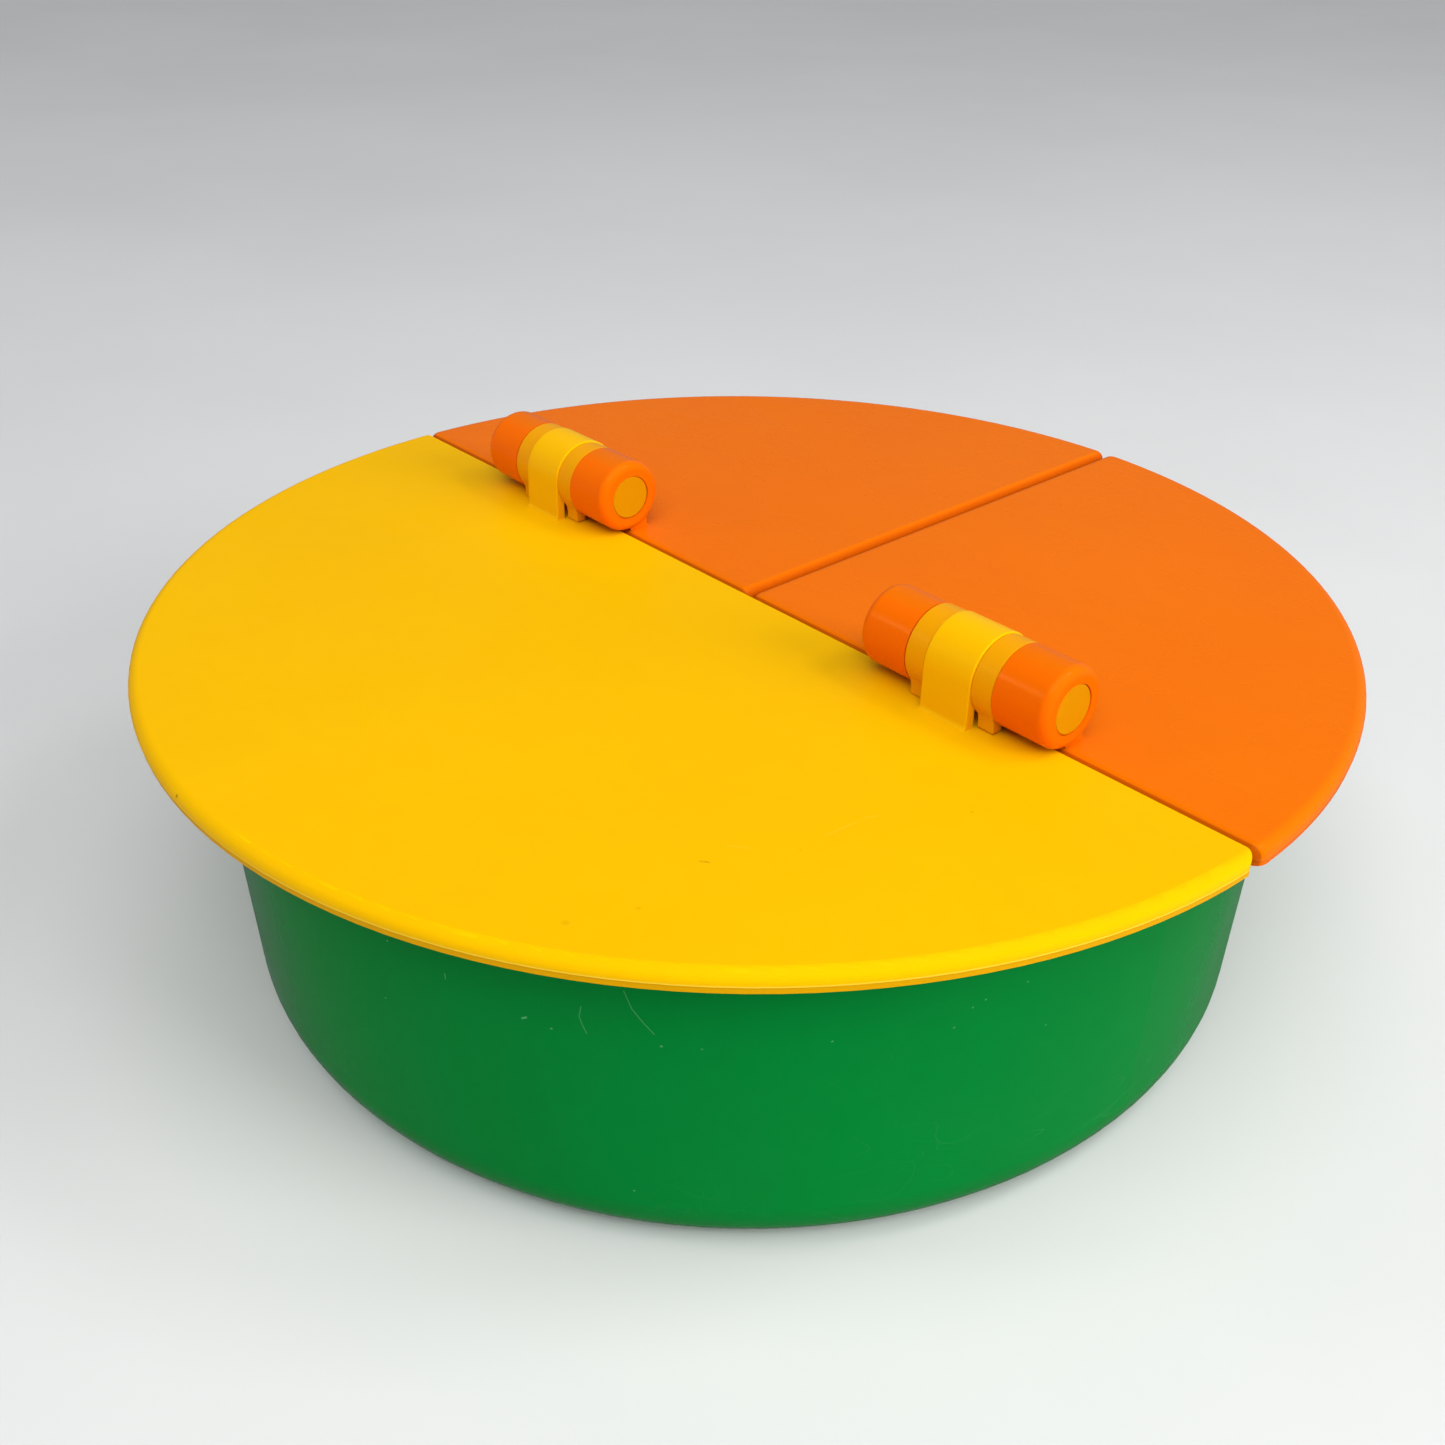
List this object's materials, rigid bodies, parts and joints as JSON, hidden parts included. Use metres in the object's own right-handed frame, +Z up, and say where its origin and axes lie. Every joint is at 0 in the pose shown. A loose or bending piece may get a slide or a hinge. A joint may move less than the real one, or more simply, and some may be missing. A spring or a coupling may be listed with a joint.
{
  "type": "round case with hinged flaps",
  "caption": "Round tapered plastic case with a fixed half-disc lid and quarter-disc flaps that swing up and over on barrel hinges standing above the straight seam.",
  "frame": {"origin": "centre of the tub's base, on the plane that it stands on", "axes": "+Z up; X along the straight seam between the half lid and the flaps; +Y from the half lid towards the flaps"},
  "size_m": [0.3, 0.3, 0.1148],
  "materials": {
    "tub_green": "smooth glossy green moulding with fine scratches",
    "lid_yellow": "satin yellow moulding, lightly scuffed",
    "flap_orange": "satin orange moulding, lightly scuffed",
    "hinge_yellow": "satin yellow moulding",
    "collar_amber": "satin amber-yellow moulding",
    "pin_amber": "satin amber-yellow moulding"
  },
  "bodies": {
    "case": {"tub": "tub_green", "half_lid": "lid_yellow", "right_hinge_pin": "pin_amber", "left_hinge_pin": "pin_amber", "right_hinge_strap": "hinge_yellow", "left_hinge_strap": "hinge_yellow", "right_hinge_collar_outer": "collar_amber", "right_hinge_collar_inner": "collar_amber", "left_hinge_collar_outer": "collar_amber", "left_hinge_collar_inner": "collar_amber"},
    "right_flap": {"right_flap": "flap_orange"},
    "left_flap": {"left_flap": "flap_orange"}
  },
  "joints": [
    {"name": "right_flap_hinge", "type": "hinge", "parent": "case", "child": "right_flap", "pos_m": [0.075, 0.00125, 0.1048], "axis": [1, 0, 0], "range_deg": [0, 187]},
    {"name": "left_flap_hinge", "type": "hinge", "parent": "case", "child": "left_flap", "pos_m": [-0.075, 0.00125, 0.1048], "axis": [1, 0, 0], "range_deg": [0, 187]}
  ]
}
